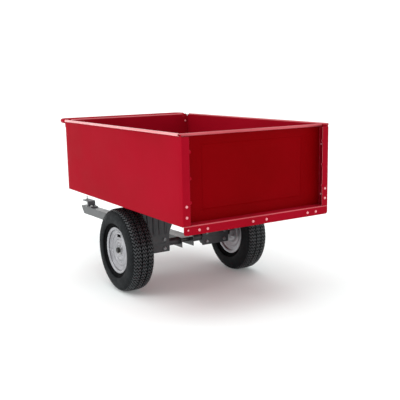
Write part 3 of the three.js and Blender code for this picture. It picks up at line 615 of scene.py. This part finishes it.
def tailgate():
    """A sheet with a pressed field, side edges bent back into the guides and a rolled top."""
    low, high = box("tailgate")
    front = high.x
    back = front - SHEET
    half = high.y
    top = high.z
    gate = Shape()
    side_ramp = [256, 258, 260, 262, 264]
    edges = sorted([s * y for s in (-1, 1) for y in side_ramp] + spread(-250, 250, 10) + [-300, 300])
    levels = [low.z + d for d in (0, 25, 46, 48, 50, 52, 54, 90, 140, 190, 240, 290)]
    levels += [top - d for d in (54, 52, 50, 48, 46, 16, ROLL)]

    def pressing(y, z):
        inside = min(FIELD_HALF - abs(y), z - low.z - FIELD_MARGIN, top - FIELD_MARGIN - z)
        t = min(1, max(0, inside / FIELD_RAMP))
        return FIELD_DEPTH * t * t * (3 - 2 * t)

    # The wings are drawn by their inner faces, and the sheet's thickness lies outside them.
    wing = half - SHEET
    bent = [(10, 0), (3, 0), (0.9, 0.9)]
    flat = [1.2, 2.0, 2.8]
    rows = []
    for z in levels:
        inner = [(back - pressing(y, z) - dent(5000, y, z) * 0.5, y, z) for y in edges]
        ends = [(back, s * (half - 4), z) for s in (-1, 1)]
        wings = [[(back - p, s * (wing - q), z) for p, q in bent] for s in (-1, 1)]
        # The wings end near the tops of the posts.
        if z > POST_TOP - 10:
            wings = [[(back, s * (half - d), z) for d in flat] for s in (-1, 1)]
        rows.append(wings[0] + [ends[0]] + inner + [ends[1]] + wings[1][::-1])
    gate.grid(rows, flip=True)
    # The rolled top takes the lighter red, a painted highlight; the rest of the gate takes the darker red,
    # painted shade.
    curl = [[(back - a, y, top + b) for y in spread(-half, half, 24)] for a, b in rim_curl()]
    gate.grid(curl, flip=True, finish=1)
    piece = gate.object("tailgate_sheet", [RED_GATE_SHADE, RED_SOFT_HIGHLIGHT], solid=False)
    thicken(piece)
    fit(piece, "tailgate", "red_paint", "tailgate")
    rivets = Shape()
    for s in (-1, 1):
        for z in RIVET_HEIGHTS:
            rivets.dome_bolt((back, s * (half - 25), z), radius=4, rise=1.4)
    # The rivet heads take the gate's darker red: painted shade.
    fit(rivets.object("tailgate_rivets", [RED_GATE_SHADE]), "tailgate", "red_paint")


HANDLE_RADIUS = 12
HANDLE_BEND = 30
FOOT_RADIUS = 13


def grab_handle():
    """A fat tube on two stepped arms, each with a flat foot."""
    high = box("front_grab_handle")[1]
    z = RIM_TOP - 10
    y = high.y - HANDLE_RADIUS
    bar_x = high.x - HANDLE_RADIUS
    arm_from = FRONT + 26
    handle = Shape()
    half = []
    for angle in range(0, 91, 10):
        a = math.radians(angle)
        corner_x = bar_x - HANDLE_BEND + HANDLE_BEND * math.sin(a)
        corner_y = y - HANDLE_BEND + HANDLE_BEND * math.cos(a)
        half.append((corner_x, corner_y, z))
    places = [FRONT + 3, arm_from - 4, arm_from, arm_from + 3, bar_x - HANDLE_BEND - 2]
    path = [(x, y, z) for x in places] + half
    sizes = [6, 6, 9] + [HANDLE_RADIUS] * (2 + len(half))
    mirrored = [(px, -py, pz) for px, py, pz in path[::-1]]
    handle.tube(path + mirrored, sizes + sizes[::-1], 24)
    for s in (-1, 1):
        round_end = arc((0, 0), FOOT_RADIUS, 0, 180, 10)
        outline = [(s * y + a, RIM_TOP - 15 + b) for a, b in round_end]
        outline += [(s * y + a, RIM_TOP - 35 - b) for a, b in round_end[::-1]]
        rows = [[(x, p, q) for p, q in outline] for x in (FRONT + 0.3, FRONT + 3.3)]
        rows.insert(0, [(FRONT + 0.3, s * y, RIM_TOP - 25)] * len(outline))
        rows.append([(FRONT + 3.3, s * y, RIM_TOP - 25)] * len(outline))
        handle.grid(rows, closed_columns=True)
    piece = handle.object("grab_handle_tube", [RED])
    round_edges(piece, 0.5 * MM, angle=50)
    fit(piece, "bed", "red_paint", "front_grab_handle")


FLANGE_BOLT_Y = [306, 266, 38, -33, -262, -310]
GUIDE_BOLT_Z = [482, 709]
POST_BOLT_RISES = [38, 82]
CORNER_BOLT_RISES = [40, 190, 330]
HANDLE_BOLT_DROPS = [38, 24]


def bed_fasteners():
    """Round-headed bolts on the rear flange, posts, tailgate guides, front corners and handle feet."""
    bolts = Shape()
    flange_z = (FLOOR_LOW.z + WALL_FOOT) / 2
    for y in FLANGE_BOLT_Y:
        bolts.dome_bolt((REAR, y, flange_z), radius=6)
    bolts.dome_bolt((REAR, 358, flange_z + 4), radius=4, rise=2.4)
    guide_rear = box("left_tailgate_guide")[0].x
    for s in (-1, 1):
        for h in POST_BOLT_RISES:
            bolts.dome_bolt((REAR, s * (WALL_OUT - 18), WALL_FOOT + h), radius=6)
        for z in GUIDE_BOLT_Z:
            bolts.dome_bolt((guide_rear, s * (WALL_OUT - 12), z), radius=4, rise=2.4)
        for h in CORNER_BOLT_RISES:
            bolts.dome_bolt((FRONT - 4, s * (WALL_OUT - 16), WALL_FOOT + h), radius=5.5, rise=3)
        for h in HANDLE_BOLT_DROPS:
            bolts.dome_bolt((FRONT + 3.3, s * (WALL_OUT - 14), RIM_TOP - h), out=1, radius=5.5, rise=3)
    # The bolt heads take the light pink red: a painted highlight.
    piece = bolts.object("bed_fasteners", [RED_BOLT_HIGHLIGHT])
    nodes = [f"{side}_post_bolt_{i}" for side in SIDES for i in (1, 2)]
    fit(piece, "bed", "red_bolt_paint", *nodes)


# ---------------------------------------------------------------- wheels

PITCHES = 72
GROOVE = 6.5
SHOULDER = 56
LUG_EDGE = 51
RADIUS = (box("left_tyre")[1].z - box("left_tyre")[0].z) / 2


def crown(y):
    """Radius of the tread at a distance from the wheel's middle plane."""
    return RADIUS - 0.0011 * y * y - 9 * (abs(y) / 52) ** 8


def tyre(side):
    """Turf tread: zigzag cross grooves and two circumferential grooves on a rounded carcass."""
    centre = middle(side + "_tyre")
    half = [(0, 0), (6, 1), (12.6, 0), (13.6, 0), (16.4, 0), (17.4, 0), (24, 1), (31, 0), (38, 1)]
    half += [(45, 0), (LUG_EDGE, 1)]
    ring_groove = {13.6, 16.4}
    tread = sorted({(s * y, k) for y, k in half for s in (-1, 1)})
    wall = smooth([(SHOULDER, crown(SHOULDER)), (60.5, 174), (63.2, 163), (64, 150), (63, 139), (59.5, 132.5),
                   (53, 129), (49.5, 121), (46.4, 114.2)], 4)
    wall = [(y, r + 0.8 * (168 < r < 171) + 0.8 * (160 < r < 163)) for y, r in wall]
    bead = [(43.2, 112.8), (42.3, 110.4), (42.3, 102.8), (34, 102.8), (35, 113), (52, 150), (38, 182)]
    section = [(-y, r, 0, 0) for y, r in bead[::-1] + wall[::-1]]
    section += [(y, crown(y), k, GROOVE if abs(y) in ring_groove else 0) for y, k in tread]
    section += [(y, r, 0, 0) for y, r in wall + bead]
    rows = []
    for y, r, zig, sunk in section:
        row = []
        cut = abs(y) <= LUG_EDGE and r > 170
        for i in range(PITCHES):
            for part, deep in ((0.0, 0), (0.56, 0), (0.64, 1), (0.92, 1)):
                a = 2 * math.pi * (i + part + 0.62 * zig) / PITCHES
                radius = r - max(sunk, GROOVE * deep if cut else 0)
                row.append((centre.x + radius * math.sin(a), centre.y + y, centre.z + radius * math.cos(a)))
        rows.append(row)
    body = Shape()
    body.grid(rows, closed_rows=True, closed_columns=True)
    tall = [section[i // (4 * PITCHES)][1] for i in range(len(body.points))]
    reach = [math.hypot(p[0] - centre.x, p[2] - centre.z) for p in body.points]

    def rubber_of(face):
        """1 in the grooves and on the bead, made near-black as painted shade; 2 on the tread blocks, lighter as
        wear and a painted highlight; 0 on the side wall.
        """
        if sum(tall[v] - reach[v] > 1 for v in face) > 1 or max(reach[v] for v in face) < 133:
            return 1
        return 2 if min(reach[v] for v in face) > 185 else 0

    body.finishes = [rubber_of(face) for face in body.faces]
    piece = body.object(side + "_tyre_tread", [TYRE, GROOVE_SHADE_RUBBER, TREAD_WEAR_AND_HIGHLIGHT])
    fit(piece, side + "_wheel", "tyre_rubber", side + "_tyre")


def wheel(side):
    """Pressed rim: rolled flanges, drop centre and a stepped disc on each face. The outer has a hand hole."""
    s = SIDES[side]
    centre = middle(side + "_tyre")
    steps = [(38, 98), (35.5, 94), (34.6, 89), (32.4, 85), (32, 79), (33.8, 74), (33.6, 66)]
    steps += [(30.4, 61), (30.2, 55), (33.4, 50), (35, 45), (34.6, 38), (31, 32), (30.4, 26.3)]
    disc_face = smooth(steps, 3)
    disc_back = [(y - 2.6, r) for y, r in disc_face[::-1]]
    outer_flange = [(45, 99), (46.4, 101), *arc((46, 110), 3, -20, 180, 8)]
    seat = [(43.6, 102), (24, 100), (14, 90), (-14, 90), (-24, 100), (-43.6, 102)]
    inner_flange = [(-y, r) for y, r in outer_flange[::-1]]
    well = [(-25, 97), (-15, 87), (12, 87), (22, 92), (28, 97.5)]
    rim = Shape()
    profile = outer_flange + seat + inner_flange + well
    rim.turn([(s * y, r) for y, r in profile], centre, "y", 96, closed=True)
    for face in (s, -s):
        rim.turn([(face * y, r) for y, r in disc_face + disc_back], centre, "y", 96, closed=True)
    piece = rim.object(side + "_rim_shell", [SILVER])
    cut_hand_hole(piece, centre, s)
    fit(piece, side + "_wheel", "rim_paint", side + "_wheel_rim")


def cut_hand_hole(piece, centre, s):
    """An oval hole through the disc, round the valve."""
    hole = Shape()
    outline = [(11 + p, q) for p, q in arc((0, 0), 8, -90, 90, 12)]
    outline += [(p - 11, q) for p, q in arc((0, 0), 8, 90, 270, 12)]
    lift = 68
    rows = [[(centre.x + p, centre.y + s * y, centre.z + lift + q) for p, q in outline] for y in (5, 50)]
    rows.insert(0, [(centre.x, centre.y + s * 5, centre.z + lift)] * len(outline))
    rows.append([(centre.x, centre.y + s * 50, centre.z + lift)] * len(outline))
    hole.grid(rows, closed_columns=True)
    cutter = hole.object("hand_hole_cutter", [SILVER])
    cutting = piece.modifiers.new("hand_hole", "BOOLEAN")
    cutting.operation = "DIFFERENCE"
    cutting.object = cutter
    cutting.solver = "EXACT"
    bpy.context.view_layer.update()
    result = bpy.data.meshes.new_from_object(piece.evaluated_get(bpy.context.evaluated_depsgraph_get()))
    piece.modifiers.clear()
    piece.data = result
    bpy.data.objects.remove(cutter)
    result.set_sharp_from_angle(angle=math.radians(35))


def hub(side):
    """Turned hub barrel, and the bearing race in its outer end."""
    s = SIDES[side]
    centre = middle(side + "_wheel_hub")
    low, high = box(side + "_wheel_hub")
    half = (high.y - low.y) / 2
    body = Shape()
    profile = [(half, 21.3), (half, 24.6), (half - 1.4, 26), (half - 14, 26), (half - 15, 25)]
    profile += [(-half + 8, 25), (-half + 7, 26), (-half + 1.4, 26), (-half, 24.6), (-half, 13)]
    profile += [(half - 12, 13), (half - 12, 21.3)]
    body.turn([(s * y, r) for y, r in profile], centre, "y", 48, closed=True)
    piece = body.object(side + "_hub_barrel", [SILVER])
    fit(piece, side + "_wheel", "rim_paint", side + "_wheel_hub")
    race = Shape()
    bearing = [(half - 11, 13), (half - 11, 20.8), (half - 1, 20.8), (half - 0.6, 20.2), (half - 0.6, 18.6),
               (half - 1.6, 18.2), (half - 1.6, 16), (half - 0.6, 15.6), (half - 0.2, 13)]
    race.turn([(s * y, r) for y, r in bearing], centre, "y", 48, closed=True)
    piece = race.object(side + "_bearing_race", [DARK_STEEL])
    fit(piece, side + "_wheel", "bare_steel", side + "_wheel_bearing")


def valve(side):
    """Rubber snap-in stem with a smooth cap."""
    s = SIDES[side]
    low, high = box(side + "_valve_stem")
    centre = (low + high) / 2
    foot = low.y if s > 0 else high.y
    stem = Shape()
    profile = [(0, 0), (0, 6.2), (3, 6.2), (5, 4.8), (15, 4.2), (19, 3.2), (20, 3.2), (20.4, 3.6)]
    profile += [(28.5, 3.4), (29.8, 2.4), (30, 0)]
    stem.turn([(s * y, r) for y, r in profile], (centre.x, foot, centre.z), "y", 20)
    piece = stem.object(side + "_valve_rubber", [SOFT])
    fit(piece, side + "_wheel", "soft_rubber", side + "_valve_stem")


# ---------------------------------------------------------------- brackets, axle and fasteners

BRACKET_RIBS = [118, 150, 182, 214, 240]
BRACKET_RIB_HALF = 8.5
BRACKET_RIB_RISE = 5
BRACKET_RIB_START = 250
BRACKET_THICKNESS = 3


def axle_bracket(side):
    """One pressed plate: rounded upright ribs, a flange under the floor and a folded edge by the tongue."""
    low, high = box(side + "_axle_bracket")
    rear = low.x + 5
    top = high.z
    foot = low.z
    inner = smooth([(foot, 98), (252, 98), (262, 95), (320, 70), (top, 34)], 8)
    outer = [(foot, 258), (foot + 39, 258), (foot + 48, 256), (foot + 61, 250), (top, 250)]

    def across(edge, z):
        """The y of an edge line at a height."""
        for (z0, y0), (z1, y1) in zip(edge, edge[1:]):
            if z <= z1:
                return y0 + (y1 - y0) * (z - z0) / (z1 - z0)
        return edge[-1][1]

    def pressed(y, z):
        off = min(abs(y - r) for r in BRACKET_RIBS)
        rise = min(1, max(0, (BRACKET_RIB_HALF - off) / 5))
        rise *= min(1, max(0, (z - BRACKET_RIB_START) / 12))
        rise *= min(1, max(0, (top - 6 - z) / 12))
        return BRACKET_RIB_RISE * rise * rise * (3 - 2 * rise)

    plate = Shape()
    rows = []
    for z in spread(foot, top - 4, 44):
        wide = spread(across(inner, z), across(outer, z), 84)
        rows.append([(rear - pressed(y, z), y, z) for y in wide])
    for x, z in arc((rear + 4, top - 4), 4, 180, 90, 4)[1:] + [(rear + 20, top), (rear + 36, top)]:
        rows.append([(x, y, z) for y in spread(across(inner, top), across(outer, top), 84)])
    plate.grid(rows, flip=True)
    # The folded edge runs from above the axle to just under the floor.
    fold = [(min(z, top - 1.2), y) for z, y in inner if z > AXLE.z + 38]
    plate.grid([[(x, y, z) for z, y in fold] for x in (rear + 1, rear + 8, rear + 16)], flip=True)
    piece = plate.object(side + "_bracket_pressing", [BLACK], mirror=side == "right", solid=False)
    thicken(piece, BRACKET_THICKNESS * MM, 0.8 * MM)
    fit(piece, "bed", "black_paint", side + "_axle_bracket")


HEX_CORNER = 8.6
HEX_HEIGHT = 5.3
WASHER_RADIUS = 9.2
WASHER_END = 6.5
SHANK_RADIUS = 4.9


def through_bolt(shape, node, axis):
    """A hexagon bolt from head to nut, with washers and the thread's end past the nut."""
    low, high = box(node)
    centre = (low + high) / 2
    spot = {"x": (0, centre.y, centre.z), "y": (centre.x, 0, centre.z)}[axis]
    first, last = {"x": (low.x, high.x), "y": (low.y, high.y)}[axis]
    hexagon = [(0, 0), (0, HEX_CORNER - 1.5), (1, HEX_CORNER), (HEX_HEIGHT, HEX_CORNER), (HEX_HEIGHT, 0)]
    washer = [(HEX_HEIGHT, 0), (HEX_HEIGHT, WASHER_RADIUS), (WASHER_END, WASHER_RADIUS), (WASHER_END, 0)]
    for start, way in ((first, 1), (last - 3, -1)):
        shape.turn([(start + way * a, r) for a, r in hexagon], spot, axis, 6, 0.2)
        shape.turn([(start + way * a, r) for a, r in washer], spot, axis, 28)
    thread = [(last - 9 + 0.6 * i, SHANK_RADIUS if i % 2 else 4.3) for i in range(14)]
    shank = [(first + 3, 0), (first + 3, SHANK_RADIUS), *thread, (last, 3.8), (last, 0)]
    shape.turn(shank, spot, axis, 20)


def hardware():
    """The bolts through the axle brackets and through the stand."""
    places = [(where, level) for where in ("inner", "outer") for level in ("upper", "lower")]
    for side in SIDES:
        names = [f"{side}_bracket_bolt_{where}_{level}" for where, level in places]
        bolts = Shape()
        for name in names:
            through_bolt(bolts, name, "x")
        fit(bolts.object(side + "_bracket_bolts", [DULL_ZINC]), "bed", "zinc_hardware", *names)
    names = ["stand_bolt_1", "stand_bolt_2"]
    bolts = Shape()
    for name in names:
        through_bolt(bolts, name, "y")
    fit(bolts.object("stand_bolts", [ZINC]), "tongue", "zinc_hardware", *names)


def axle():
    """A drilled-end shaft, with a washer and a split cotter outside each hub."""
    low, high = box("axle_shaft")
    end = high.y
    r = (high.z - low.z) / 2
    half = [(end - 4, 0), (end, 3.2), (end, r - 2), (end - 0.6, r - 0.6), (end - 2, r)]
    shaft = Shape()
    shaft.turn([(-y, p) for y, p in half] + half[::-1], (AXLE.x, 0, AXLE.z), "y", 64)
    fit(shaft.object("axle_bar", [DARK_STEEL]), "tongue", "bare_steel", "axle_shaft")
    for side, s in SIDES.items():
        low, high = box(side + "_axle_washer")
        inner, outer = sorted((abs(low.y), abs(high.y)))
        ring = Shape()
        section = [(inner, 13), (inner, 19.6), (inner + 0.4, 20)]
        section += [(outer - 0.4, 20), (outer, 19.6), (outer, 13)]
        ring.turn([(s * y, p) for y, p in section], (AXLE.x, 0, AXLE.z), "y", 56, closed=True)
        fit(ring.object(side + "_axle_ring", [ZINC]), "tongue", "zinc_hardware", side + "_axle_washer")
        y = middle(side + "_cotter_pin").y
        leg = 1.1
        eye = [(0, p, 18.5 + q) for p, q in arc((0, 0), 3.4, 250, -70, 20)]
        path = [(-5, -leg, -18), (-1.2, -leg, -15), (0, -leg, -12), (0, -leg, 14)]
        path += [*eye, (0, leg, 14), (0, leg, -12), (1.2, leg, -15), (5, leg, -18)]
        path = [(AXLE.x + a, y + b, AXLE.z + c) for a, b, c in path]
        pin = Shape()
        pin.tube(path, 1.05, 10)
        fit(pin.object(side + "_split_cotter", [DULL_ZINC]), "tongue", "zinc_hardware", side + "_cotter_pin")


# ---------------------------------------------------------------- the CAD nodes that stay


def soften(piece, width):
    """Merges the facets of flat faces and rounds the hard edges."""
    merge = piece.modifiers.new("merge_flat_facets", "DECIMATE")
    merge.decimate_type = "DISSOLVE"
    merge.angle_limit = math.radians(0.5)
    round_edges(piece, width)
    for face in piece.data.polygons:
        face.use_smooth = True
    piece.data.set_sharp_from_angle(angle=math.radians(32))


EDGE_ROUNDING = {"tongue": 1.2, "hitch_strap": 1.4, "bed_rest_pad": 3.0, "bed_support_stand": 0.9}
EDGE_ROUNDING.update({side + "_axle_bearing_block": 1.6 for side in SIDES})
EDGE_ROUNDING.update({side + "_axle_clamp_plate": 0.8 for side in SIDES})

for part in frame["record"]["subparts"]:
    node = frame["nodes"][part["node"]]
    node.data.materials.clear()
    node.data.materials.append(SLOT_FINISH[part["material_slot"]])
    soften(node, EDGE_ROUNDING.get(part["node"], 0.4) * MM)

front_panel()
bed_floor()
tailgate()
grab_handle()
bed_fasteners()
hardware()
axle()
for side_name in SIDES:
    axle_bracket(side_name)
    side_panel(side_name)
    tyre(side_name)
    wheel(side_name)
    hub(side_name)
    valve(side_name)

# ---------------------------------------------------------------- studio

PALE = Finish("studio_floor")
pale_tone = PALE.mix(PALE.span(PALE.noise(1.1, 3), 0.3, 0.7), (0.84, 0.885, 0.88), (0.87, 0.91, 0.905))
# The sweep is lit a little from within, which keeps the outer part of the shadow pale.
PALE.done(pale_tone, 0.8, PALE.bump(PALE.noise(300, 2), 0.00005), Specular_IOR_Level=0.1,
          Emission_Strength=0.1, Emission_Color=(1, 1, 1, 1))


def studio_floor():
    """One flat face, far wider than the view."""
    half = 40.0
    mesh = bpy.data.meshes.new("studio_floor")
    corners = [(-half, -half, 0), (half, -half, 0), (half, half, 0), (-half, half, 0)]
    mesh.from_pydata(corners, [], [(0, 1, 2, 3)])
    mesh.materials.append(PALE.material)
    floor = bpy.data.objects.new("studio_floor", mesh)
    bpy.context.scene.collection.objects.link(floor)


def soft_box(name, place, target, width, depth, watts):
    """A rectangular lamp turned toward a target."""
    light = bpy.data.lights.new(name, "AREA")
    light.shape = "RECTANGLE"
    light.size = width
    light.size_y = depth
    light.energy = watts
    lamp = bpy.data.objects.new(name, light)
    lamp.location = place
    lamp.rotation_euler = (Vector(target) - Vector(place)).to_track_quat("-Z", "Y").to_euler()
    bpy.context.scene.collection.objects.link(lamp)


CEILING_POWER = 1.72
CEILING_SPREAD = 70


def ceiling_light():
    """A wide overhead glow that lights the floor evenly out to the horizon."""
    light = bpy.data.lights.new("ceiling_light", "SUN")
    light.energy = CEILING_POWER
    light.angle = math.radians(CEILING_SPREAD)
    lamp = bpy.data.objects.new("ceiling_light", light)
    lamp.rotation_euler = Vector((0.0, -0.05, -1)).to_track_quat("-Z", "Y").to_euler()
    bpy.context.scene.collection.objects.link(lamp)


HORIZON = (0.14, 1.25)
OVERHEAD = (0.55, 0.62)


def sky():
    """White at the horizon, softer grey overhead: each end is a height and a strength."""
    world = bpy.data.worlds.new("studio_sky")
    bpy.context.scene.world = world
    world.use_nodes = True
    tree = world.node_tree
    tree.nodes.clear()
    direction = tree.nodes.new("ShaderNodeTexCoord")
    split = tree.nodes.new("ShaderNodeSeparateXYZ")
    rise = tree.nodes.new("ShaderNodeMapRange")
    rise.interpolation_type = "SMOOTHSTEP"
    rise.inputs["From Min"].default_value, rise.inputs["To Min"].default_value = HORIZON
    rise.inputs["From Max"].default_value, rise.inputs["To Max"].default_value = OVERHEAD
    glow = tree.nodes.new("ShaderNodeBackground")
    glow.inputs["Color"].default_value = (1, 1, 1, 1)
    out = tree.nodes.new("ShaderNodeOutputWorld")
    tree.links.new(direction.outputs["Generated"], split.inputs[0])
    tree.links.new(split.outputs["Z"], rise.inputs["Value"])
    tree.links.new(rise.outputs["Result"], glow.inputs["Strength"])
    tree.links.new(glow.outputs[0], out.inputs[0])


CAMERA_PLACE = (-3.24167, 1.72043, 1.02566)
CAMERA_TURN = (-31.93, -10.38, -1.11)


def camera():
    """Behind the cart's left rear corner, a metre above the ground."""
    yaw, pitch, roll = [math.radians(a) for a in CAMERA_TURN]
    ahead = Vector((math.cos(pitch) * math.cos(yaw), math.cos(pitch) * math.sin(yaw), math.sin(pitch)))
    right = ahead.cross(Vector((0, 0, 1))).normalized()
    up = right.cross(ahead)
    right, up = right * math.cos(roll) + up * math.sin(roll), up * math.cos(roll) - right * math.sin(roll)
    turn = Matrix((right, up, -ahead)).transposed()
    lens = bpy.data.cameras.new("camera")
    lens.lens = 61.55
    lens.sensor_width = 36.0
    eye = bpy.data.objects.new("camera", lens)
    eye.matrix_world = Matrix.Translation(CAMERA_PLACE) @ turn.to_4x4()
    bpy.context.scene.collection.objects.link(eye)
    bpy.context.scene.camera = eye


studio_floor()
sky()
camera()
ceiling_light()
soft_box("key_light", place=(0.6, 4.4, 3.0), target=(-0.3, 0, 0.5), width=2.4, depth=1.6, watts=60)
bpy.context.scene.view_settings.view_transform = "Standard"
